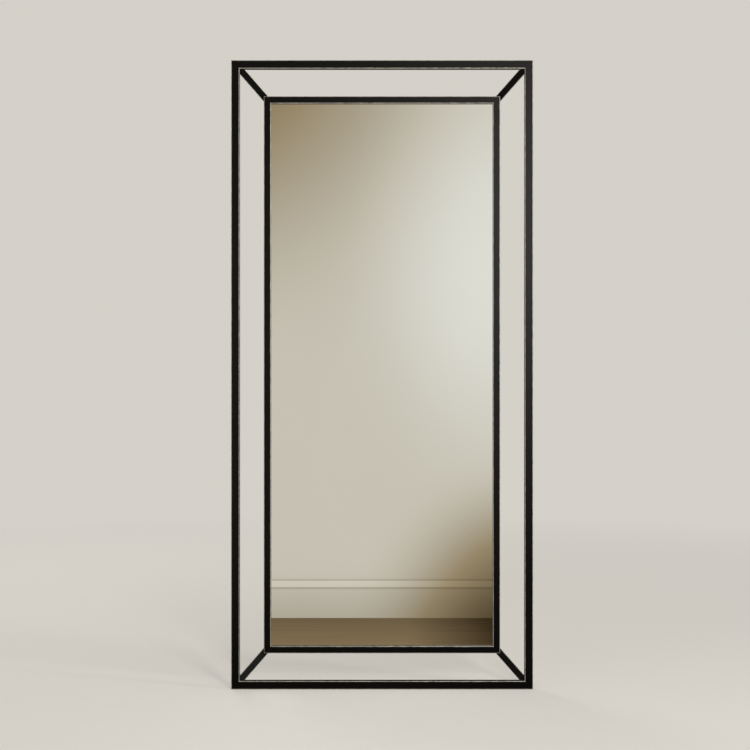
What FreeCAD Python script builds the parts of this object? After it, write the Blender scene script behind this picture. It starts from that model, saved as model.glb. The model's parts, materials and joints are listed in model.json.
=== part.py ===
import FreeCAD, Part
import math
import os

# Tall mirror in an open double frame of black steel.
# X runs to the right, Y from the face towards the wall, Z up. Lengths are in millimetres.
# The origin is on the underside, at the middle of the overall width and depth.

# Overall size and the step between the two frames
overall_width = 914.4
overall_height = 1905.0
border_gap = 66.7            # clear strip between the outer and the inner frame
frame_recess = 76.2          # inner frame's face behind the outer frame's face

# Outer frame, rectangular tube with mitred corners
outer_face = 25.4
outer_depth = 19.05
outer_wall = 1.5
outer_corner_radius = 2.0

# Inner frame, rebated hollow section with mitred corners
inner_face = 22.2
inner_depth = 25.4
inner_box_depth = 7.5        # the hollow front, which the glass lies behind
inner_wall = 1.5
inner_leg = 2.0              # the solid side, which runs back round the glass and the panel
inner_corner_radius = 2.0
inner_edge_radius = 0.5      # eased edges behind the face

# Corner struts, flat bar with eased edges
strut_width = 20.6
strut_thickness = 5.0
strut_edge_radius = 1.0

# Glazing
tape_width = 10.0
tape_thickness = 1.0
tape_inset = 4.0             # from the inner frame's side to the tape
glass_thickness = 4.0
glass_edge_clearance = 2.0
glass_arris = 0.6
block_length = 60.0
panel_thickness = 9.0
panel_edge_clearance = 1.0
panel_chamfer = 0.8

# Countersunk screws through the inner frame's sides into the panel's edge
side_screw_head_radius = 3.25
side_screw_radius = 1.5
side_screw_length = 16.0
side_screw_tip = 2.5
side_screw_end_inset = 120.0
screws_per_stile = 5
screws_per_rail = 3

# Pan-head screws into the back of the panel
pan_head_radius = 3.6
pan_head_height = 2.0
pan_head_chamfer = 0.7
pan_screw_radius = 1.75
pan_screw_tip = 2.0
pan_screw_grip = 7.0         # length that enters the panel
screw_clearance = 0.1        # round every shank and countersunk head

# Ring hangers
hanger_inset = 82.1          # from the panel's edges to the middle of the ring
hanger_drop = 320.0          # from the top of the inner frame to the ring's bar
strap_width = 18.0
strap_length = 42.0          # from the ring's bar to the strap's rounded end
strap_sheet = 1.2
strap_fold_end = 9.0         # from the ring's bar to where the two layers meet
strap_screw_drops = (14.0, 33.0)
ring_wire_radius = 1.6
ring_play = 0.3              # all round the ring's bar, and from the ring to the panel
ring_inner_width = 24.0
ring_bend_radius = 3.0
ring_leg_height = 8.0

# Rubber bumpers, which keep the frame off the wall
bumper_standoff = 3.0        # beyond the inner frame's rear edge
bumper_base_radius = 11.0
bumper_tip_radius = 9.0
bumper_floor = 2.6
bumper_well_radius = 5.0
bumper_inset = 30.0          # from the panel's edges

# Sizes that follow
overall_depth = frame_recess + inner_depth + bumper_standoff
outer_front = -overall_depth / 2.0
inner_front = outer_front + frame_recess
outer_middle = outer_front + outer_depth / 2.0
inner_middle = inner_front + inner_depth / 2.0
middle_height = overall_height / 2.0
opening_width = overall_width - 2.0 * outer_face
opening_height = overall_height - 2.0 * outer_face
inner_width = opening_width - 2.0 * border_gap
inner_height = opening_height - 2.0 * border_gap
tape_front = inner_front + inner_box_depth
glass_front = tape_front + tape_thickness
panel_front = glass_front + glass_thickness
panel_rear = panel_front + panel_thickness
panel_middle = panel_front + panel_thickness / 2.0
glass_inset = inner_leg + glass_edge_clearance
panel_inset = inner_leg + panel_edge_clearance
panel_width = inner_width - 2.0 * panel_inset
panel_height = inner_height - 2.0 * panel_inset
bumper_height = inner_front + inner_depth - panel_rear + bumper_standoff
hanger_x = panel_width / 2.0 - hanger_inset
knuckle_radius = ring_wire_radius + ring_play + strap_sheet
ring_bar_y = panel_rear + knuckle_radius
ring_bar_z = middle_height + inner_height / 2.0 - hanger_drop
ring_bow_radius = ring_inner_width / 2.0 + ring_wire_radius
ring_reach = ring_leg_height + ring_bow_radius

# How far a cutting shape runs past what it cuts
overrun = 20.0
no_radius = 1e-6

AXIS_X = FreeCAD.Vector(1, 0, 0)
AXIS_Y = FreeCAD.Vector(0, 1, 0)
AXIS_Z = FreeCAD.Vector(0, 0, 1)
# Turn about Y that brings a member's inward side from +X to the middle of the mirror
SIDE_TURNS = {"left": 0.0, "top": 90.0, "right": 180.0, "bottom": 270.0}
# Where each side lies from the middle, in X and Z
SIDE_DIRECTIONS = {"left": (-1, 0), "top": (0, 1), "right": (1, 0), "bottom": (0, -1)}


def vector(x, y, z=0.0):
    return FreeCAD.Vector(x, y, z)


def block(width, depth, height, x, y, z):
    """A box centred on x and z, with its front face at y."""
    corner = vector(x - width / 2.0, y, z - height / 2.0)
    return Part.makeBox(width, depth, height, corner)


def rounded_wire(corners):
    """A closed outline in the XY plane through (x, y, radius) corners."""
    edges = []
    starts = []
    ends = []
    for index, (x, y, radius) in enumerate(corners):
        before = corners[index - 1]
        after = corners[(index + 1) % len(corners)]
        corner = vector(x, y)
        back = (vector(before[0], before[1]) - corner).normalize()
        ahead = (vector(after[0], after[1]) - corner).normalize()
        if radius < no_radius:
            starts.append(corner)
            ends.append(corner)
            continue
        half_angle = back.getAngle(ahead) / 2.0
        reach = radius / math.tan(half_angle)
        bisector = (back + ahead).normalize()
        to_arc = radius / math.sin(half_angle) - radius
        starts.append(corner + back * reach)
        ends.append(corner + ahead * reach)
        edges.append(Part.Arc(starts[-1], corner + bisector * to_arc, ends[-1]).toShape())
    for index in range(len(corners)):
        line_start = ends[index - 1]
        line_end = starts[index]
        if line_start.distanceToPoint(line_end) > no_radius:
            edges.append(Part.LineSegment(line_start, line_end).toShape())
    return Part.Wire(Part.__sortEdges__(edges))


def rounded_rectangle(x_low, y_low, x_high, y_high, radius):
    corners = [(x_low, y_low), (x_high, y_low), (x_high, y_high), (x_low, y_high)]
    return rounded_wire([(x, y, max(radius, 0.0)) for x, y in corners])


def lathe(profile):
    """A turned solid on the Z axis, from (distance along it, radius) points."""
    points = [vector(radius, 0.0, along) for along, radius in profile]
    face = Part.Face(Part.makePolygon(points + points[:1]))
    return Part.Solid(face.revolve(vector(0, 0), AXIS_Z, 360.0))


def rearward(x, y, z):
    """The placement that points a turned solid towards the wall."""
    return FreeCAD.Placement(vector(x, y, z), FreeCAD.Rotation(AXIS_Z, AXIS_Y))


def side_placement(side, width, height):
    """Where a member's blank goes: its outer edge runs along this side of the rectangle."""
    right, up = SIDE_DIRECTIONS[side]
    origin = vector(right * width / 2.0, 0.0, middle_height + up * height / 2.0)
    return FreeCAD.Placement(origin, FreeCAD.Rotation(AXIS_Y, SIDE_TURNS[side]))


def side_length(side, width, height):
    return height if side in ("left", "right") else width


def placed(shape, placement):
    moved = shape.copy()
    moved.Placement = placement.multiply(moved.Placement)
    return moved


def mitred_member(section, face_width, side, width, height):
    """A frame member cut at 45 degrees at both ends, on one side of the rectangle."""
    length = side_length(side, width, height)
    blank = section.extrude(AXIS_Z * length)
    blank.translate(AXIS_Z * (-length / 2.0))
    long_end = length / 2.0 + overrun
    short_end = length / 2.0 - face_width - overrun
    outline = [
        vector(-overrun, 0.0, -long_end),
        vector(face_width + overrun, 0.0, -short_end),
        vector(face_width + overrun, 0.0, short_end),
        vector(-overrun, 0.0, long_end),
    ]
    depth = 2.0 * overall_depth
    mitre = Part.Face(Part.makePolygon(outline + outline[:1])).extrude(AXIS_Y * depth)
    mitre.translate(AXIS_Y * (-depth / 2.0))
    return placed(blank.common(mitre), side_placement(side, width, height))


def tube_section(x_low, y_low, x_high, y_high, wall, radius):
    """The section of a rectangular tube, with its bore."""
    outside = rounded_rectangle(x_low, y_low, x_high, y_high, radius)
    inside = rounded_rectangle(x_low + wall, y_low + wall, x_high - wall, y_high - wall, radius - wall)
    return Part.Face(outside).cut(Part.Face(inside))


def outer_section():
    rear = outer_front + outer_depth
    return tube_section(0.0, outer_front, outer_face, rear, outer_wall, outer_corner_radius)


def inner_section():
    """A flat hollow box at the face, with a leg that runs back from its outer side."""
    rear = inner_front + inner_depth
    box_rear = inner_front + inner_box_depth
    outside = rounded_wire([
        (0.0, inner_front, inner_corner_radius),
        (inner_face, inner_front, inner_corner_radius),
        (inner_face, box_rear, inner_edge_radius),
        (inner_leg, box_rear, inner_edge_radius),
        (inner_leg, rear, inner_edge_radius),
        (0.0, rear, inner_edge_radius),
    ])
    bore = rounded_rectangle(
        inner_wall, inner_front + inner_wall, inner_face - inner_wall, box_rear - inner_wall,
        inner_corner_radius - inner_wall,
    )
    return Part.Face(outside).cut(Part.Face(bore))


def side_screw_places(side):
    """Placements along one side of the inner frame, each pointing inwards along X."""
    count = screws_per_stile if side in ("left", "right") else screws_per_rail
    span = side_length(side, inner_width, inner_height) - 2.0 * side_screw_end_inset
    frame_side = side_placement(side, inner_width, inner_height)
    places = []
    for index in range(count):
        along = -span / 2.0 + span * index / (count - 1)
        local = FreeCAD.Placement(vector(0.0, panel_middle, along), FreeCAD.Rotation(AXIS_Y, 90.0))
        places.append(frame_side.multiply(local))
    return places


def side_screw_blank(extra):
    """The countersunk screw, or the hole for it when extra is its clearance."""
    head = side_screw_head_radius + extra
    shank = side_screw_radius + extra
    return lathe([
        (0.0, 0.0),
        (0.0, head),
        (head - shank, shank),
        (side_screw_length - side_screw_tip, shank),
        (side_screw_length + extra, 0.0),
    ])


def side_screws():
    blank = side_screw_blank(0.0)
    places = [place for side in SIDE_TURNS for place in side_screw_places(side)]
    return Part.makeCompound([placed(blank, place) for place in places])


def inner_member(side):
    member = mitred_member(inner_section(), inner_face, side, inner_width, inner_height)
    hole = side_screw_blank(screw_clearance)
    return member.cut([placed(hole, place) for place in side_screw_places(side)])


def corner_strut(right, up):
    """The bar across the open border at one corner.

    It runs on the diagonal of the corner and back by the step between the frames. One end
    is pointed to seat in the outer corner, and the other is notched over the inner corner.
    """
    slope = (inner_middle - outer_middle) / (border_gap * math.sqrt(2.0))
    seat_shift = slope * strut_width / 2.0
    outer_point = vector(
        right * opening_width / 2.0,
        outer_middle - seat_shift / 2.0,
        middle_height + up * opening_height / 2.0,
    )
    inner_point = vector(
        right * inner_width / 2.0,
        inner_middle - seat_shift / 2.0,
        middle_height + up * inner_height / 2.0,
    )
    along = (inner_point - outer_point).normalize()
    across = vector(right, 0.0, -up).normalize()
    turn = FreeCAD.Rotation(across, along.cross(across), along, "ZXY")
    half_width = strut_width / 2.0
    half_thickness = strut_thickness / 2.0
    section = Part.Face(rounded_rectangle(
        -half_width, -half_thickness, half_width, half_thickness, strut_edge_radius,
    ))
    spare = strut_width + strut_thickness
    length = outer_point.distanceToPoint(inner_point) + 2.0 * spare
    bar = section.extrude(AXIS_Z * length)
    bar.Placement = FreeCAD.Placement(outer_point - along * spare, turn)
    depth = 2.0 * overall_depth
    outer_opening = block(opening_width, depth, opening_height, 0.0, -depth / 2.0, middle_height)
    inner_envelope = block(inner_width, depth, inner_height, 0.0, -depth / 2.0, middle_height)
    return bar.common(outer_opening).cut(inner_envelope)


def mirror_plate():
    width = inner_width - 2.0 * glass_inset
    height = inner_height - 2.0 * glass_inset
    plate = block(width, glass_thickness, height, 0.0, glass_front, middle_height)
    return plate.makeChamfer(glass_arris, plate.Edges)


def glazing_tape(side):
    """One strip of foam tape. The rails' strips run between the stiles' strips."""
    outer_edge = inner_leg + tape_inset
    length = side_length(side, inner_width, inner_height) - 2.0 * outer_edge
    if side in ("top", "bottom"):
        length -= 2.0 * tape_width
    middle = outer_edge + tape_width / 2.0
    strip = block(tape_width, tape_thickness, length, middle, tape_front, 0.0)
    return placed(strip, side_placement(side, inner_width, inner_height))


def setting_block(right):
    """A rubber block that carries the glass on the bottom rail."""
    bottom = middle_height - inner_height / 2.0 + inner_leg
    place = right * (inner_width / 2.0 - glass_inset) / 2.0
    height = glass_edge_clearance
    return block(block_length, glass_thickness, height, place, glass_front, bottom + height / 2.0)


def bumper_places():
    """X and Z of each bumper's middle, by name."""
    places = {}
    for vertical, up in (("upper", 1), ("lower", -1)):
        for horizontal, right in (("left", -1), ("right", 1)):
            x = right * (panel_width / 2.0 - bumper_inset)
            z = middle_height + up * (panel_height / 2.0 - bumper_inset)
            places[vertical + "_" + horizontal] = (x, z)
    return places


def strap_screw_places(right):
    x = right * hanger_x
    return [(x, ring_bar_z - drop) for drop in strap_screw_drops]


def pan_screw(x, z, seat_y):
    """A pan-head screw that runs towards the face, with its head on seat_y."""
    length = seat_y - panel_rear + pan_screw_grip
    screw = lathe([
        (-length, 0.0),
        (-length + pan_screw_tip, pan_screw_radius),
        (0.0, pan_screw_radius),
        (0.0, pan_head_radius),
        (pan_head_height - pan_head_chamfer, pan_head_radius),
        (pan_head_height, pan_head_radius - pan_head_chamfer),
        (pan_head_height, 0.0),
    ])
    return placed(screw, rearward(x, seat_y, z))


def pan_hole(x, z, front_y, rear_y):
    radius = pan_screw_radius + screw_clearance
    return Part.makeCylinder(radius, rear_y - front_y, vector(x, front_y, z), AXIS_Y)


def back_panel():
    panel = block(panel_width, panel_thickness, panel_height, 0.0, panel_front, middle_height)
    rear_edges = [edge for edge in panel.Edges if edge.BoundBox.YMin > panel_rear - no_radius]
    panel = panel.makeChamfer(panel_chamfer, rear_edges)
    pilot = Part.makeCylinder(side_screw_radius + screw_clearance, side_screw_length + screw_clearance)
    holes = [placed(pilot, place) for side in SIDE_TURNS for place in side_screw_places(side)]
    places = list(bumper_places().values()) + strap_screw_places(-1) + strap_screw_places(1)
    pilot_end = panel_rear - pan_screw_grip - screw_clearance
    holes += [pan_hole(x, z, pilot_end, panel_rear + overrun) for x, z in places]
    return panel.cut(holes)


def teardrop(radius, back, front, end):
    """Edges round a fold: up the back line, over the bar, and down to the front line."""
    centre = vector(0.0, knuckle_radius, 0.0)
    foot = vector(0.0, front, -strap_fold_end)
    to_centre = centre - foot
    tangent_length = math.sqrt(to_centre.Length ** 2 - radius ** 2)
    heading = math.atan2(to_centre.z, to_centre.y) - math.asin(radius / to_centre.Length)
    touch = foot + vector(0.0, math.cos(heading), math.sin(heading)) * tangent_length
    shoulder = vector(0.0, back, 0.0)
    crown = vector(0.0, knuckle_radius, radius)
    edges = [
        Part.Arc(shoulder, crown, touch).toShape(),
        Part.LineSegment(touch, foot).toShape(),
    ]
    corners = [foot] + end + [shoulder]
    for start, finish in zip(corners, corners[1:]):
        edges.append(Part.LineSegment(start, finish).toShape())
    return Part.Face(Part.Wire(Part.__sortEdges__(edges)))


def hanger_strap(right):
    """A strip of steel folded double round the ring's bar and screwed to the panel."""
    doubled = 2.0 * strap_sheet
    tail = [vector(0.0, doubled, -strap_length), vector(0.0, 0.0, -strap_length)]
    outside = teardrop(knuckle_radius, 0.0, doubled, tail)
    inside = teardrop(knuckle_radius - strap_sheet, strap_sheet, strap_sheet, [])
    strap = outside.cut(inside).extrude(AXIS_X * strap_width)
    strap.translate(AXIS_X * (-strap_width / 2.0))
    half = strap_width / 2.0
    outline = rounded_rectangle(-half, -strap_length, half, strap_length, half)
    plan = Part.Face(outline)
    plan.rotate(vector(0, 0), AXIS_X, 90.0)
    plan = plan.extrude(AXIS_Y * 4.0 * knuckle_radius)
    plan.translate(AXIS_Y * (-knuckle_radius))
    strap = strap.common(plan)
    strap.translate(vector(right * hanger_x, panel_rear, ring_bar_z))
    seat = panel_rear + doubled
    holes = [pan_hole(x, z, panel_rear - overrun, seat + overrun) for x, z in strap_screw_places(right)]
    return strap.cut(holes)


def wire_run(start, length, direction):
    return Part.makeCylinder(ring_wire_radius, length, start, direction)


def wire_bend(start, direction, centre, angle):
    """A stretch of the ring's wire bent about an axis through centre that runs along Y."""
    section = Part.Face(Part.Wire(Part.makeCircle(ring_wire_radius, start, direction)))
    return section.revolve(centre, AXIS_Y, angle)


def hanging_ring(right):
    """The D-shaped steel ring, raised as it is on a hook, with its bow resting near the panel."""
    side = ring_bow_radius
    bend = ring_bend_radius
    bar_end = side - bend
    leg_length = ring_leg_height - bend
    runs = [
        wire_run(vector(-bar_end, 0.0, 0.0), 2.0 * bar_end, AXIS_X),
        wire_bend(vector(bar_end, 0.0, 0.0), AXIS_X, vector(bar_end, 0.0, bend), -90.0),
        wire_run(vector(side, 0.0, bend), leg_length, AXIS_Z),
        wire_bend(vector(side, 0.0, ring_leg_height), AXIS_Z, vector(0.0, 0.0, ring_leg_height), -180.0),
        wire_run(vector(-side, 0.0, bend), leg_length, AXIS_Z),
        wire_bend(vector(-side, 0.0, bend), AXIS_Z, vector(-bar_end, 0.0, bend), -90.0),
    ]
    ring = runs[0].fuse(runs[1:]).removeSplitter()
    lean = math.degrees(math.asin((knuckle_radius - ring_wire_radius - ring_play) / ring_reach))
    ring.rotate(vector(0, 0), AXIS_X, lean)
    ring.translate(vector(right * hanger_x, ring_bar_y, ring_bar_z))
    return ring


def hanger_screws(right):
    seat = panel_rear + 2.0 * strap_sheet
    return Part.makeCompound([pan_screw(x, z, seat) for x, z in strap_screw_places(right)])


def bumper(x, z):
    """A tapered rubber foot with a well for its screw's head."""
    solid = lathe([
        (0.0, pan_screw_radius + screw_clearance),
        (0.0, bumper_base_radius),
        (bumper_height, bumper_tip_radius),
        (bumper_height, bumper_well_radius),
        (bumper_floor, bumper_well_radius),
        (bumper_floor, pan_screw_radius + screw_clearance),
    ])
    return placed(solid, rearward(x, panel_rear, z))


def bumper_screws():
    seat = panel_rear + bumper_floor
    return Part.makeCompound([pan_screw(x, z, seat) for x, z in bumper_places().values()])


def all_parts():
    parts = {}
    for side in SIDE_TURNS:
        kind = "_stile" if side in ("left", "right") else "_rail"
        parts["outer_" + side + kind] = mitred_member(
            outer_section(), outer_face, side, overall_width, overall_height,
        )
        parts["inner_" + side + kind] = inner_member(side)
        parts[side + "_glazing_tape"] = glazing_tape(side)
    for vertical, up in (("top", 1), ("bottom", -1)):
        for horizontal, right in (("left", -1), ("right", 1)):
            parts["corner_strut_" + vertical + "_" + horizontal] = corner_strut(right, up)
    for horizontal, right in (("left", -1), ("right", 1)):
        parts[horizontal + "_setting_block"] = setting_block(right)
        parts[horizontal + "_hanger_strap"] = hanger_strap(right)
        parts[horizontal + "_hanging_ring"] = hanging_ring(right)
        parts[horizontal + "_hanger_screws"] = hanger_screws(right)
    for name, (x, z) in bumper_places().items():
        parts[name + "_bumper"] = bumper(x, z)
    parts["mirror_plate"] = mirror_plate()
    parts["back_panel"] = back_panel()
    parts["panel_screws"] = side_screws()
    parts["bumper_screws"] = bumper_screws()
    return parts


os.makedirs("parts", exist_ok=True)
for name, shape in all_parts().items():
    shape.exportStep("parts/" + name + ".step")
    print(name, len(shape.Solids), "valid" if shape.isValid() else "NOT VALID", round(shape.Volume, 1))
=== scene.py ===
import json
import math
from collections import Counter

import bmesh
import bpy
from mathutils import Matrix, Vector


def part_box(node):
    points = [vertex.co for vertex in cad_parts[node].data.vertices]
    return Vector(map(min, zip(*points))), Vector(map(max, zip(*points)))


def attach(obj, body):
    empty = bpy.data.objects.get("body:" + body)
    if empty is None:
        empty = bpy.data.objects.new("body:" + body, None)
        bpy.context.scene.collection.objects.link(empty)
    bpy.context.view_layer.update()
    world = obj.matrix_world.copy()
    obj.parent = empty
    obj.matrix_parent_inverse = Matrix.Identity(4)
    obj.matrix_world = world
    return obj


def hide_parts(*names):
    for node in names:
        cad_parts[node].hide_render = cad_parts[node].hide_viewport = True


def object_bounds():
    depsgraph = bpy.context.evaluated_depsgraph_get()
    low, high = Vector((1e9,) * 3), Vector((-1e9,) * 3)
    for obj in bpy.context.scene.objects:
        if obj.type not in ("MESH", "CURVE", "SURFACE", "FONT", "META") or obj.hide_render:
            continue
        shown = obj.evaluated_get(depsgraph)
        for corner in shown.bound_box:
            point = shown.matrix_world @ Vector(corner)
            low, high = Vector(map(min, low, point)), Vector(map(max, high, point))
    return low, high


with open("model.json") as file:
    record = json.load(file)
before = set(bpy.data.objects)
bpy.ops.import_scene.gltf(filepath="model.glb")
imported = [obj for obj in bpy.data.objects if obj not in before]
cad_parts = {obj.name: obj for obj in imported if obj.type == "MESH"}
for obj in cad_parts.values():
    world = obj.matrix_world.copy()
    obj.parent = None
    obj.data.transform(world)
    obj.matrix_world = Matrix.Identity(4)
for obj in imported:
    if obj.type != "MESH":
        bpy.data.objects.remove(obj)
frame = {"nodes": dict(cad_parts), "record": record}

# Tall mirror in an open double frame of black steel. Lengths are in metres, in the frame's own
# axes: X to the right, Y from the face towards the wall, Z up.

CAD_LOW, CAD_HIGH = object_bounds()

# The photograph's view: square on, with the mirror a little right of the middle
CAMERA_DISTANCE = 3.734          # from the outer frame's face
CAMERA_X = -0.0215
CAMERA_Z = 0.9519
SENSOR_WIDTH = 36.0              # in millimetres, as Blender takes it
LENS = 59.22                     # in millimetres
NEAREST_SEEN = 0.05
FURTHEST_SEEN = 60.0

# Lamps: name, place, point aimed at, width, height and power in watts
LAMP_COLOUR = (1.0, 0.97, 0.92)
LAMPS = (
    ("key", (1.05, -3.10, 1.85), (0.0, 0.0, 1.15), 0.6, 1.3, 62.0),
    ("side", (3.4, -1.35, 2.0), (0.0, 0.0, 1.15), 0.45, 1.6, 40.0),
    ("fill", (-3.2, -2.2, 2.2), (0.0, 0.0, 0.9), 1.8, 1.8, 12.0),
    ("rear", (-2.1, 3.2, 2.7), (0.0, 0.0, 1.0), 2.0, 2.0, 62.0),
)
SURROUND_COLOUR = (1.0, 0.985, 0.96)     # of the soft light from all round
SURROUND_STRENGTH = 0.30

# The floor and the surround
FLOOR_COLOUR = (0.86, 0.84, 0.79)
FLOOR_MOTTLE = 0.98              # the floor's darker patches, as a share of its colour
FLOOR_RADIUS = 14.0
FLOOR_SEGMENTS = 96
FLOOR_DROP = 0.0002              # keeps the floor clear of the lower rail's underside
FLOOR_GLOW = 0.50                # the floor's share of the backdrop's tone close to the mirror
FADE = (0.6, 4.6)                # distances over which that share rises to the whole
BACKDROP_COLOUR = (0.66, 0.635, 0.585)
REFLECTED_TONE = (0.07, 0.064, 0.055)    # what gloss sees beyond the reflected wall

# The floor in reflections: darker and warmer, as in a furnished room, with a patch in shade
BOARDS = (0.19, 0.135, 0.072)
BOARDS_IN_SHADE = (0.041, 0.025, 0.010)
BOARDS_WIDTH = 2.0               # from the middle to the right, in which the patch lies
BOARDS_STOPS = ((0.05, BOARDS), (0.21, BOARDS_IN_SHADE), (0.60, BOARDS))
BOARDS_RAGGED = 0.02             # share of that width by which the grain shifts its edges
# painted shade: the reflected floor is darker by the skirting and lighter towards the mirror
BOARDS_DEPTH = (-0.98, -0.50)    # from the skirting towards the mirror
BOARDS_LEVEL = (0.84, 1.22)      # how light the floor is at those two places
BOARDS_STREAKS = (0.94, 1.06)    # the grain's dark and light streaks, as shares of that

# The wall in reflections
ROOM_DISTANCE = 1.015            # from the glass
ROOM_WIDTH = 9.0
ROOM_HEIGHT = 6.0
ROOM_HIDDEN_FROM = ("camera", "diffuse", "shadow", "volume_scatter", "transmission")
WALL_LEVEL = 0.73                # its lightness before the lobes change it
# painted light and shade on the reflected wall: a lobe with an amount above 0 lightens it, one
# below 0 darkens it
WALL_LOBES = (                   # amount, and middle X, middle Z, half width and half height
    (0.27, (0.50, 1.38, 0.80, 1.15)),
    (-0.55, (-0.80, 2.50, 1.65, 1.75)),
    (-0.72, (0.64, -0.05, 0.85, 0.80)),
    (-0.16, (-0.30, -0.15, 1.60, 0.45)),
)
WALL_TONES = (                   # lightness, and the colour there
    (0.00, (0.10, 0.066, 0.03)),
    (0.35, (0.33, 0.26, 0.155)),
    (0.70, (0.60, 0.56, 0.47)),
    (1.00, (0.79, 0.78, 0.72)),
)
SKIRTING_HEIGHT = 0.16           # to the shadow over its moulding
# painted highlight and shadow: the moulding is only lighter and darker lines in the wall's glow,
# with a darker strip at its foot
SKIRTING_SHADES = (              # its light and dark lines, upwards, as shares of the wall's tone
    (0.00, 0.88), (0.695, 0.94), (0.72, 0.70), (0.745, 0.70),
    (0.765, 1.10), (0.90, 1.12), (0.92, 0.78), (0.945, 0.78), (0.965, 1.00),
)

# Screws
PAN_HEAD_RADIUS = 0.0036
PAN_HEAD_HEIGHT = 0.0020
PAN_RIM = 0.0006                 # height of the dome's straight rim
PAN_EDGE = 0.15 * PAN_RIM        # bevel round the head's seat
PAN_SHANK_RADIUS = 0.00175
PAN_SHANK_LENGTH = 0.0075
PAN_RECESS_REACH = 0.56 * PAN_HEAD_RADIUS
PAN_RECESS_WIDTH = 0.30 * PAN_HEAD_RADIUS
PAN_RECESS_DEPTH = 0.70 * PAN_HEAD_HEIGHT
COUNTERSUNK_RADIUS = 0.00325
COUNTERSUNK_EDGE = 0.0002
COUNTERSUNK_SHANK = 0.0015
COUNTERSUNK_LENGTH = 0.0135
COUNTERSUNK_DEPTH = COUNTERSUNK_RADIUS - COUNTERSUNK_SHANK
COUNTERSUNK_RECESS_REACH = 0.60 * COUNTERSUNK_RADIUS
COUNTERSUNK_RECESS_WIDTH = 0.30 * COUNTERSUNK_RADIUS
COUNTERSUNK_RECESS_DEPTH = 0.55 * COUNTERSUNK_DEPTH
RECESS_TAPER = 0.45              # how much narrower a recess is at its foot
PUNCH_RISE = 0.3                 # of the recess's depth, from the head's top to the punch's
DOME_STEPS = 10
TURNING_STEPS = 40
MERGE_DISTANCE = 1e-7
SHARP_EDGE = math.radians(32.0)
FIRST_TURN = math.radians(13.0)  # screws stop at different turns
NEXT_TURN = math.radians(47.0)

BUMPERS = ("upper_left", "upper_right", "lower_left", "lower_right")
SIDE_SCREW_INSET = 0.120         # from the inner frame's corners
SCREWS_PER_STILE = 5
SCREWS_PER_RAIL = 3

ARRIS_SHARE = 0.01               # a facing with less of a piece's surface than this is an arris
FACING_PLACES = 2                # decimal places to which facings are told apart

NOISE_BODY = (0.3, 0.7)          # where most of a noise texture's values lie


# Node helpers

def new_material(name):
    material = bpy.data.materials.new(name)
    material.use_nodes = True
    material.node_tree.nodes.clear()
    return material, material.node_tree


def add(tree, kind, **values):
    """Adds a node, and sets its properties and its sockets' own values by name."""
    node = tree.nodes.new("ShaderNode" + kind)
    for name, value in values.items():
        if hasattr(node, name):
            setattr(node, name, value)
        else:
            node.inputs[name.replace("_", " ")].default_value = value
    return node


def link(tree, source, target):
    tree.links.new(source, target)


def show(tree, shader, kind="OutputMaterial"):
    link(tree, shader, add(tree, kind).inputs["Surface"])


def surface(tree, **values):
    """A Principled shader joined to the output."""
    shader = add(tree, "BsdfPrincipled", **values)
    show(tree, shader.outputs["BSDF"])
    return shader


def own_place(tree):
    """A point's place in the axes of its own object."""
    return add(tree, "TexCoord").outputs["Object"]


def noise(tree, scale, detail=2.0, roughness=0.5, stretch=(1.0, 1.0, 1.0)):
    """Noise over the object's own axes, with about scale features to the metre."""
    mapping = add(tree, "Mapping", Scale=stretch)
    texture = add(tree, "TexNoise", Scale=scale, Detail=detail, Roughness=roughness)
    link(tree, own_place(tree), mapping.inputs["Vector"])
    link(tree, mapping.outputs["Vector"], texture.inputs["Vector"])
    return texture.outputs["Fac"]


def spread(tree, value, span, results):
    """Maps a value from a span to the results at its two ends, held between them."""
    node = add(
        tree, "MapRange",
        From_Min=span[0], From_Max=span[1], To_Min=results[0], To_Max=results[1],
    )
    link(tree, value, node.inputs["Value"])
    return node.outputs["Result"]


def maths(tree, operation, first, second):
    """An operation on two values, either of which may be a plain number."""
    node = add(tree, "Math", operation=operation)
    for socket, value in zip(node.inputs, (first, second)):
        if isinstance(value, (int, float)):
            socket.default_value = value
        else:
            link(tree, value, socket)
    return node.outputs["Value"]


def vector_length(tree, vector):
    node = add(tree, "VectorMath", operation="LENGTH")
    link(tree, vector, node.inputs[0])
    return node.outputs["Value"]


def along(tree, axis, vector):
    """One of a vector's three parts: X, Y or Z."""
    node = add(tree, "SeparateXYZ")
    link(tree, vector, node.inputs["Vector"])
    return node.outputs[axis]


def ramp(tree, value, stops):
    """A colour ramp through (position, colour) stops."""
    node = add(tree, "ValToRGB")
    elements = node.color_ramp.elements
    while len(elements) < len(stops):
        elements.new(0.5)
    for element, (position, colour) in zip(elements, stops):
        element.position = position
        element.color = (*colour, 1.0)
    link(tree, value, node.inputs["Fac"])
    return node.outputs["Color"]


def mix(tree, factor, first, colour):
    """From the first input to a plain colour, as the factor goes from 0 to 1."""
    node = add(tree, "Mix", data_type="RGBA")
    link(tree, factor, node.inputs["Factor"])
    link(tree, first, node.inputs["A"])
    node.inputs["B"].default_value = (*colour, 1.0)
    return node.outputs["Result"]


def mix_shaders(tree, factor, first, second):
    node = add(tree, "MixShader")
    for source, socket in zip((factor, first, second), node.inputs):
        link(tree, source, socket)
    return node.outputs["Shader"]


def bump(tree, shader, height, distance, strength):
    node = add(tree, "Bump", Strength=strength, Distance=distance)
    link(tree, height, node.inputs["Height"])
    link(tree, node.outputs["Normal"], shader.inputs["Normal"])


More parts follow.
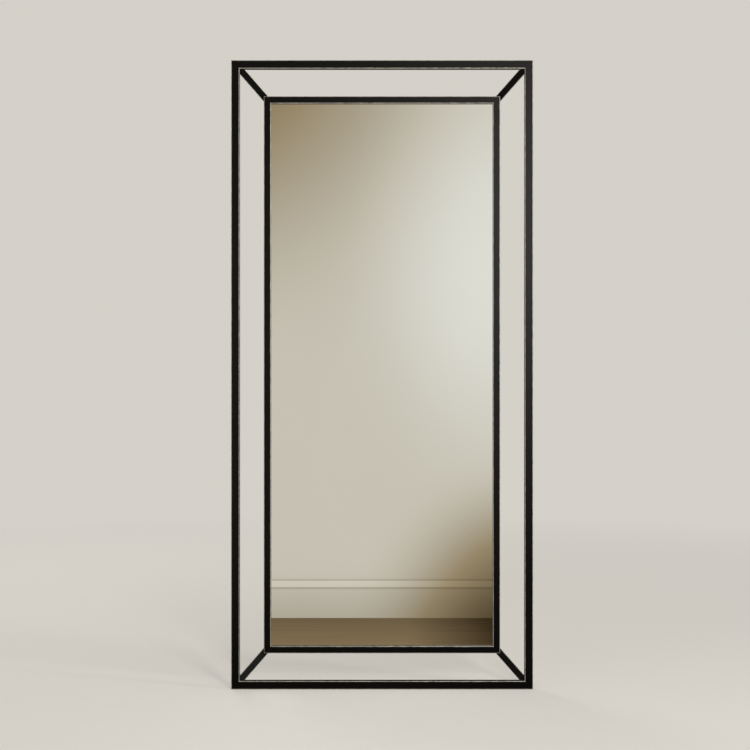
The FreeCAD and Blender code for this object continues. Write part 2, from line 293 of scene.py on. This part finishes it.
def edge_wear(tree, radius, broken_scale):
    """From 0 on flats to 1 within radius of an edge, broken up by noise."""
    rounded = add(tree, "Bevel", samples=6, Radius=radius)
    agreement = add(tree, "VectorMath", operation="DOT_PRODUCT")
    link(tree, rounded.outputs["Normal"], agreement.inputs[0])
    link(tree, add(tree, "NewGeometry").outputs["Normal"], agreement.inputs[1])
    edges = spread(tree, agreement.outputs["Value"], (0.995, 0.88), (0.0, 1.0))
    broken = noise(tree, broken_scale, detail=4.0, roughness=0.65)
    return maths(tree, "MULTIPLY", edges, broken)


# Materials of the object

def black_powder_coat():
    """Satin black powder coat with its fine orange peel, and a painted sheen on the arrises,
    which are made lighter and partly metallic so that they show bright highlight lines.
    """
    material, tree = new_material("black_powder_coat")
    shader = surface(tree, IOR=1.5, Specular_IOR_Level=0.105)
    broad = noise(tree, scale=3.2, detail=3.0)
    fine = noise(tree, scale=260.0)
    base = ramp(tree, broad, [
        (0.25, (0.0012, 0.0011, 0.0010)),
        (0.75, (0.0021, 0.0019, 0.0017)),
    ])
    arris = add(tree, "Attribute", attribute_name="arris").outputs["Fac"]
    patches = spread(tree, noise(tree, scale=60.0, detail=4.0), (0.35, 0.65), (0.55, 1.0))
    # painted sheen: in patches the arrises get a lighter colour and some metal, so that they
    # catch highlight lines
    painted_arris_sheen = maths(tree, "MULTIPLY", arris, patches)
    link(tree, mix(tree, painted_arris_sheen, base, (0.42, 0.40, 0.36)), shader.inputs["Base Color"])
    link(tree, maths(tree, "MULTIPLY", painted_arris_sheen, 0.30), shader.inputs["Metallic"])
    gloss = spread(tree, broad, NOISE_BODY, (0.36, 0.41))
    specks = spread(tree, fine, NOISE_BODY, (-0.02, 0.02))
    link(tree, maths(tree, "ADD", gloss, specks), shader.inputs["Roughness"])
    peel = noise(tree, scale=620.0, detail=1.0)
    bump(tree, shader, peel, distance=0.00006, strength=0.35)
    return material


def silvered_glass():
    """Mirror glass: a near-white reflection with a breath of green, and faint cleaning haze."""
    material, tree = new_material("silvered_glass")
    shader = surface(tree, Metallic=1.0)
    haze = noise(tree, scale=2.4, detail=4.0, roughness=0.6, stretch=(1.0, 1.0, 0.5))
    link(tree, ramp(tree, haze, [
        (0.3, (0.905, 0.915, 0.905)),
        (0.7, (0.925, 0.932, 0.922)),
    ]), shader.inputs["Base Color"])
    wipes = noise(tree, scale=9.0, detail=5.0, roughness=0.7, stretch=(0.6, 1.0, 2.2))
    link(tree, spread(tree, wipes, (0.35, 0.75), (0.008, 0.028)), shader.inputs["Roughness"])
    return material


def backing_board():
    """Brown fibreboard, mottled broadly and flecked by its fibres."""
    material, tree = new_material("backing_board")
    shader = surface(tree)
    mottle = noise(tree, scale=22.0, detail=6.0, roughness=0.7)
    fibres = noise(tree, scale=420.0, detail=3.0, roughness=0.6, stretch=(1.0, 1.0, 0.35))
    shade = maths(
        tree, "ADD", maths(tree, "MULTIPLY", mottle, 0.40), maths(tree, "MULTIPLY", fibres, 0.60),
    )
    link(tree, ramp(tree, shade, [
        (0.25, (0.205, 0.134, 0.080)),
        (0.50, (0.275, 0.186, 0.115)),
        (0.75, (0.345, 0.242, 0.155)),
    ]), shader.inputs["Base Color"])
    link(tree, spread(tree, fibres, NOISE_BODY, (0.62, 0.80)), shader.inputs["Roughness"])
    bump(tree, shader, fibres, distance=0.0002, strength=0.5)
    return material


def foam_tape():
    """Black closed-cell foam."""
    material, tree = new_material("foam_tape")
    shader = surface(tree)
    texture = add(tree, "TexVoronoi", Scale=1400.0)
    link(tree, own_place(tree), texture.inputs["Vector"])
    cells = texture.outputs["Distance"]
    link(tree, ramp(tree, cells, [
        (0.0, (0.012, 0.012, 0.012)),
        (0.7, (0.040, 0.040, 0.040)),
    ]), shader.inputs["Base Color"])
    link(tree, spread(tree, cells, (0.0, 0.7), (0.95, 0.80)), shader.inputs["Roughness"])
    bump(tree, shader, cells, distance=0.0002, strength=0.6)
    return material


def black_rubber():
    """Matt moulded rubber, a little dusty on its edges."""
    material, tree = new_material("black_rubber")
    shader = surface(tree)
    bloom = noise(tree, scale=160.0, detail=4.0, roughness=0.6)
    base = ramp(tree, bloom, [
        (0.3, (0.017, 0.017, 0.017)),
        (0.7, (0.034, 0.033, 0.032)),
    ])
    dusty = edge_wear(tree, radius=0.0005, broken_scale=500.0)
    link(tree, mix(tree, dusty, base, (0.075, 0.073, 0.070)), shader.inputs["Base Color"])
    link(tree, spread(tree, bloom, NOISE_BODY, (0.62, 0.78)), shader.inputs["Roughness"])
    bump(tree, shader, noise(tree, scale=2200.0), distance=0.00005, strength=0.4)
    return material


def zinc_plated_steel():
    """Bright zinc plate with soft spangle, drawing lines and duller edges."""
    material, tree = new_material("zinc_plated_steel")
    shader = surface(tree, Metallic=1.0)
    cloud = noise(tree, scale=120.0, detail=3.0)
    lines = noise(tree, scale=900.0, stretch=(1.0, 1.0, 0.08))
    base = ramp(tree, cloud, [
        (0.30, (0.66, 0.67, 0.69)),
        (0.70, (0.80, 0.81, 0.82)),
    ])
    worn = edge_wear(tree, radius=0.0004, broken_scale=700.0)
    link(tree, mix(tree, worn, base, (0.42, 0.41, 0.40)), shader.inputs["Base Color"])
    gloss = spread(tree, cloud, NOISE_BODY, (0.34, 0.48))
    drawn = spread(tree, lines, NOISE_BODY, (-0.03, 0.03))
    link(tree, maths(tree, "ADD", gloss, drawn), shader.inputs["Roughness"])
    bump(tree, shader, lines, distance=0.00003, strength=0.3)
    return material


def black_screw_steel():
    """Black finished screws, rubbed a little on the recess edges."""
    material, tree = new_material("black_screws")
    shader = surface(tree, Metallic=0.6)
    cloud = noise(tree, scale=600.0, detail=3.0)
    base = ramp(tree, cloud, [
        (0.3, (0.020, 0.020, 0.022)),
        (0.7, (0.036, 0.036, 0.038)),
    ])
    worn = edge_wear(tree, radius=0.0002, broken_scale=1500.0)
    link(tree, mix(tree, worn, base, (0.16, 0.155, 0.15)), shader.inputs["Base Color"])
    link(tree, spread(tree, cloud, NOISE_BODY, (0.34, 0.46)), shader.inputs["Roughness"])
    return material


MATERIALS = {
    "black_powder_coat": black_powder_coat(),
    "silvered_glass": silvered_glass(),
    "backing_board": backing_board(),
    "foam_tape": foam_tape(),
    "black_rubber": black_rubber(),
    "zinc_plated_steel": zinc_plated_steel(),
    "black_screws": black_screw_steel(),
}


def facing(polygon):
    return tuple(round(part, FACING_PLACES) for part in polygon.normal)


def mark_arrises(mesh):
    """Marks the rounded arrises: every face whose facing holds little of the surface."""
    areas = Counter()
    for polygon in mesh.polygons:
        areas[facing(polygon)] += polygon.area
    least = ARRIS_SHARE * sum(areas.values())
    marks = mesh.attributes.new("arris", "FLOAT", "FACE")
    for polygon in mesh.polygons:
        marks.data[polygon.index].value = float(areas[facing(polygon)] < least)


def dress_nodes():
    """Gives every carried-over node the material of its slot in the record."""
    for subpart in frame["record"]["subparts"]:
        node = frame["nodes"][subpart["node"]]
        node.data.materials.clear()
        node.data.materials.append(MATERIALS[subpart["material_slot"]])
        if subpart["material_slot"] == "black_powder_coat":
            mark_arrises(node.data)


# Screws, with domed or countersunk heads and cross recesses

def mesh_from(shape, name):
    """The bmesh as a mesh. The bmesh is freed."""
    mesh = bpy.data.meshes.new(name)
    shape.to_mesh(mesh)
    shape.free()
    return mesh


def place_in_scene(name, data):
    thing = bpy.data.objects.new(name, data)
    bpy.context.scene.collection.objects.link(thing)
    return thing


def turned(profile):
    """A closed mesh round the Z axis, from (radius, height) points that start and end on it."""
    shape = bmesh.new()
    points = [shape.verts.new((radius, 0.0, height)) for radius, height in profile]
    edges = [shape.edges.new(pair) for pair in zip(points, points[1:])]
    bmesh.ops.spin(
        shape, geom=points + edges, axis=(0, 0, 1), cent=(0, 0, 0),
        angle=math.tau, steps=TURNING_STEPS, use_merge=True,
    )
    bmesh.ops.remove_doubles(shape, verts=shape.verts, dist=MERGE_DISTANCE)
    bmesh.ops.recalc_face_normals(shape, faces=shape.faces)
    return mesh_from(shape, "turned")


def cross_punch(top, reach, width, depth):
    """The tapered cross that makes a driver recess, from just above top down by depth."""
    levels = (
        (top + PUNCH_RISE * depth, 1.0 + PUNCH_RISE * RECESS_TAPER),
        (top - depth, 1.0 - RECESS_TAPER),
    )
    shape = bmesh.new()
    for turn in (0.0, math.pi / 2.0):
        turning = Matrix.Rotation(turn, 3, "Z")
        corners = []
        for height, share in levels:
            for x, y in ((-1, -1), (1, -1), (1, 1), (-1, 1)):
                corner = Vector((x * reach * share, y * width * share / 2.0, height))
                corners.append(shape.verts.new(turning @ corner))
        upper, lower = corners[:4], corners[4:]
        shape.faces.new(upper[::-1])
        shape.faces.new(lower)
        for index in range(4):
            following = (index + 1) % 4
            shape.faces.new((upper[index], upper[following], lower[following], lower[index]))
    bmesh.ops.recalc_face_normals(shape, faces=shape.faces)
    return mesh_from(shape, "cross_punch")


def recessed(mesh, punch):
    """The mesh with the punch's two arms cut out of it."""
    body = place_in_scene("body", mesh)
    tool = place_in_scene("tool", punch)
    cut = body.modifiers.new("cut", "BOOLEAN")
    cut.operation = "DIFFERENCE"
    cut.solver = "EXACT"
    cut.use_self = True
    cut.object = tool
    bpy.context.view_layer.update()
    evaluated = body.evaluated_get(bpy.context.evaluated_depsgraph_get())
    result = bpy.data.meshes.new_from_object(evaluated)
    bpy.data.objects.remove(body)
    bpy.data.objects.remove(tool)
    return result


def pan_head_screw():
    """A screw on the Z axis, with its domed head's seat at 0."""
    rise = PAN_HEAD_HEIGHT - PAN_RIM
    angles = [math.pi / 2.0 * step / DOME_STEPS for step in range(DOME_STEPS + 1)]
    outline = [
        (PAN_HEAD_RADIUS * math.sin(angle), PAN_RIM + rise * math.cos(angle)) for angle in angles
    ]
    outline += [
        (PAN_HEAD_RADIUS, PAN_EDGE),
        (PAN_HEAD_RADIUS - PAN_EDGE, 0.0),
        (PAN_SHANK_RADIUS, 0.0),
        (PAN_SHANK_RADIUS, -PAN_SHANK_LENGTH),
        (0.0, -PAN_SHANK_LENGTH),
    ]
    punch = cross_punch(PAN_HEAD_HEIGHT, PAN_RECESS_REACH, PAN_RECESS_WIDTH, PAN_RECESS_DEPTH)
    return recessed(turned(outline), punch)


def countersunk_screw():
    """A screw on the Z axis, with its flat head's top at 0."""
    outline = [
        (0.0, 0.0),
        (COUNTERSUNK_RADIUS - COUNTERSUNK_EDGE, 0.0),
        (COUNTERSUNK_RADIUS, -COUNTERSUNK_EDGE),
        (COUNTERSUNK_SHANK, -COUNTERSUNK_DEPTH),
        (COUNTERSUNK_SHANK, -COUNTERSUNK_LENGTH),
        (0.0, -COUNTERSUNK_LENGTH),
    ]
    punch = cross_punch(
        0.0, COUNTERSUNK_RECESS_REACH, COUNTERSUNK_RECESS_WIDTH, COUNTERSUNK_RECESS_DEPTH,
    )
    return recessed(turned(outline), punch)


def screw_set(name, screw, places, slot, *nodes, first=0):
    """Copies of one screw at (point, direction) places, as one piece that stands for its nodes.

    Each screw is turned by its number in the row, which starts at first.
    """
    shape = bmesh.new()
    for index, (point, direction) in enumerate(places, start=first):
        copy = screw.copy()
        aim = Vector(direction).to_track_quat("Z", "Y").to_matrix().to_4x4()
        turn = Matrix.Rotation(NEXT_TURN * index + FIRST_TURN, 4, "Z")
        copy.transform(Matrix.Translation(point) @ aim @ turn)
        shape.from_mesh(copy)
        bpy.data.meshes.remove(copy)
    mesh = mesh_from(shape, name)
    mesh.shade_smooth()
    mesh.set_sharp_from_angle(angle=SHARP_EDGE)
    mesh.materials.clear()
    mesh.materials.append(MATERIALS[slot])
    thing = place_in_scene(name, mesh)
    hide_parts(*nodes)
    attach(thing, "frame")


def hanger_screws(side):
    """The two screws in one hanger strap, one above the other."""
    node = side + "_hanger_screws"
    low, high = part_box(node)
    x = (low.x + high.x) / 2.0
    seat = high.y - PAN_HEAD_HEIGHT
    heights = (low.z + PAN_HEAD_RADIUS, high.z - PAN_HEAD_RADIUS)
    places = [((x, seat, z), (0, 1, 0)) for z in heights]
    screw_set(side + "_hanger_screw_pair", pan_head_screw(), places, "zinc_plated_steel", node)


def bumper_screws():
    """One screw in the middle of each bumper."""
    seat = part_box("bumper_screws")[1].y - PAN_HEAD_HEIGHT
    places = []
    for corner in BUMPERS:
        low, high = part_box(corner + "_bumper")
        middle = (low + high) / 2.0
        places.append(((middle.x, seat, middle.z), (0, 1, 0)))
    screw_set(
        "bumper_screw_set", pan_head_screw(), places, "zinc_plated_steel", "bumper_screws",
        first=2,
    )


def evenly(low, high, count):
    return [low + (high - low) * index / (count - 1) for index in range(count)]


def panel_screws():
    """Five in each stile and three in each rail, flush with the inner frame's sides."""
    low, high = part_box("panel_screws")
    y = (low.y + high.y) / 2.0
    places = []
    for z in evenly(low.z + SIDE_SCREW_INSET, high.z - SIDE_SCREW_INSET, SCREWS_PER_STILE):
        places.append(((low.x, y, z), (-1, 0, 0)))
        places.append(((high.x, y, z), (1, 0, 0)))
    for x in evenly(low.x + SIDE_SCREW_INSET, high.x - SIDE_SCREW_INSET, SCREWS_PER_RAIL):
        places.append(((x, y, low.z), (0, 0, -1)))
        places.append(((x, y, high.z), (0, 0, 1)))
    screw_set("panel_screw_set", countersunk_screw(), places, "black_screws", "panel_screws")


# Stage, light and camera

def pale_floor(tree):
    """The floor's own surface, which fades into the backdrop's tone away from the object."""
    paint = add(tree, "BsdfPrincipled", Roughness=0.75, Specular_IOR_Level=0.2)
    link(tree, ramp(tree, noise(tree, scale=14.0, detail=4.0), [
        (0.3, tuple(FLOOR_MOTTLE * channel for channel in FLOOR_COLOUR)),
        (0.7, FLOOR_COLOUR),
    ]), paint.inputs["Base Color"])
    glow = add(tree, "Emission", Color=(*BACKDROP_COLOUR, 1.0))
    fade = spread(tree, vector_length(tree, own_place(tree)), FADE, (FLOOR_GLOW, 1.0))
    return mix_shaders(tree, fade, paint.outputs["BSDF"], glow.outputs["Emission"])


def boards(tree):
    """What the mirror shows of the floor: glowing boards with a painted patch of shade, and
    painted shade by the skirting that lightens towards the mirror.
    """
    glow = add(tree, "Emission")
    place = own_place(tree)
    grain = noise(tree, scale=6.0, detail=4.0, stretch=(0.35, 6.0, 1.0))
    across = spread(tree, along(tree, "X", place), (0.0, BOARDS_WIDTH), (0.0, 1.0))
    ragged = spread(tree, grain, NOISE_BODY, (-BOARDS_RAGGED, BOARDS_RAGGED))
    shade = ramp(tree, maths(tree, "ADD", across, ragged), BOARDS_STOPS)
    link(tree, shade, glow.inputs["Color"])
    # painted shade by the skirting, lifting towards the mirror
    away = spread(tree, along(tree, "Y", place), BOARDS_DEPTH, BOARDS_LEVEL)
    streaks = spread(tree, grain, NOISE_BODY, BOARDS_STREAKS)
    link(tree, maths(tree, "MULTIPLY", away, streaks), glow.inputs["Strength"])
    return glow.outputs["Emission"]


def studio_floor():
    """A pale floor, with boards in its place in reflections."""
    shape = bmesh.new()
    bmesh.ops.create_circle(shape, cap_ends=True, segments=FLOOR_SEGMENTS, radius=FLOOR_RADIUS)
    thing = place_in_scene("studio_floor", mesh_from(shape, "studio_floor"))
    thing.location.z = -FLOOR_DROP
    material, tree = new_material("studio_floor")
    glossy = add(tree, "LightPath").outputs["Is Glossy Ray"]
    show(tree, mix_shaders(tree, glossy, pale_floor(tree), boards(tree)))
    thing.data.materials.append(material)


def lobe(tree, x, z, half_width, half_height):
    """A soft oval on the reflected wall, 1 at its middle and 0 at its rim."""
    mapping = add(
        tree, "Mapping", vector_type="TEXTURE",
        Location=(x, 0.0, z), Scale=(half_width, 1.0, half_height),
    )
    link(tree, own_place(tree), mapping.inputs["Vector"])
    node = add(tree, "MapRange", interpolation_type="SMOOTHERSTEP", To_Min=1.0, To_Max=0.0)
    link(tree, vector_length(tree, mapping.outputs["Vector"]), node.inputs["Value"])
    return node.outputs["Result"]


def reflected_room():
    """A glowing warm wall opposite with its skirting, seen only in reflections, with painted
    light and shade: lighter and darker soft ovals, and the painted highlight and shadow lines of
    the skirting's moulding.
    """
    half = ROOM_WIDTH / 2.0
    corners = [(-half, 0, 0), (half, 0, 0), (half, 0, ROOM_HEIGHT), (-half, 0, ROOM_HEIGHT)]
    mesh = bpy.data.meshes.new("reflected_room")
    mesh.from_pydata(corners, [], [(0, 1, 2, 3)])
    thing = place_in_scene("reflected_room", mesh)
    glass_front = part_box("mirror_plate")[0].y
    thing.location.y = glass_front - ROOM_DISTANCE
    material, tree = new_material("reflected_room")
    glow = add(tree, "Emission")
    level = WALL_LEVEL
    # painted light and shade: each lobe lightens or darkens the wall's tone in a soft oval
    for amount, oval in WALL_LOBES:
        change = maths(tree, "MULTIPLY", lobe(tree, *oval), amount)
        level = maths(tree, "ADD", change, level)
    link(tree, ramp(tree, level, WALL_TONES), glow.inputs["Color"])
    height = along(tree, "Z", own_place(tree))
    up_skirting = spread(tree, height, (0.0, SKIRTING_HEIGHT), (0.0, 1.0))
    # painted highlight and shadow lines of the skirting's moulding, as the wall's brightness
    greys = [(share, (shade, shade, shade)) for share, shade in SKIRTING_SHADES]
    link(tree, ramp(tree, up_skirting, greys), glow.inputs["Strength"])
    show(tree, glow.outputs["Emission"])
    thing.data.materials.append(material)
    for kind in ROOM_HIDDEN_FROM:
        setattr(thing, "visible_" + kind, False)


def backdrop():
    """A pale surround for the camera, a duller one for gloss, and soft light for the rest."""
    world = bpy.data.worlds.new("studio")
    world.use_nodes = True
    tree = world.node_tree
    tree.nodes.clear()
    light = add(
        tree, "Background", Color=(*SURROUND_COLOUR, 1.0), Strength=SURROUND_STRENGTH,
    ).outputs["Background"]
    rays = add(tree, "LightPath").outputs
    seen = maths(tree, "MAXIMUM", rays["Is Camera Ray"], rays["Is Transmission Ray"])
    for ray, tone in ((rays["Is Glossy Ray"], REFLECTED_TONE), (seen, BACKDROP_COLOUR)):
        plain = add(tree, "Background", Color=(*tone, 1.0)).outputs["Background"]
        light = mix_shaders(tree, ray, light, plain)
    show(tree, light, kind="OutputWorld")
    bpy.context.scene.world = world


def area_light(name, place, aim, width, height, power):
    lamp = bpy.data.lights.new(name, "AREA")
    lamp.shape = "RECTANGLE"
    lamp.size = width
    lamp.size_y = height
    lamp.energy = power
    lamp.color = LAMP_COLOUR
    thing = place_in_scene(name, lamp)
    thing.location = place
    towards = Vector(aim) - Vector(place)
    thing.rotation_euler = towards.to_track_quat("-Z", "Y").to_euler()


def photograph_camera():
    camera = bpy.data.cameras.new("camera")
    camera.sensor_width = SENSOR_WIDTH
    camera.lens = LENS
    camera.clip_start = NEAREST_SEEN
    camera.clip_end = FURTHEST_SEEN
    thing = place_in_scene("camera", camera)
    thing.location = (CAMERA_X, CAD_LOW.y - CAMERA_DISTANCE, CAMERA_Z)
    thing.rotation_euler = (math.pi / 2.0, 0.0, 0.0)
    bpy.context.scene.camera = thing


dress_nodes()
for side in ("left", "right"):
    hanger_screws(side)
bumper_screws()
panel_screws()
studio_floor()
reflected_room()
backdrop()
for lamp in LAMPS:
    area_light(*lamp)
photograph_camera()
bpy.context.scene.view_settings.view_transform = "Standard"
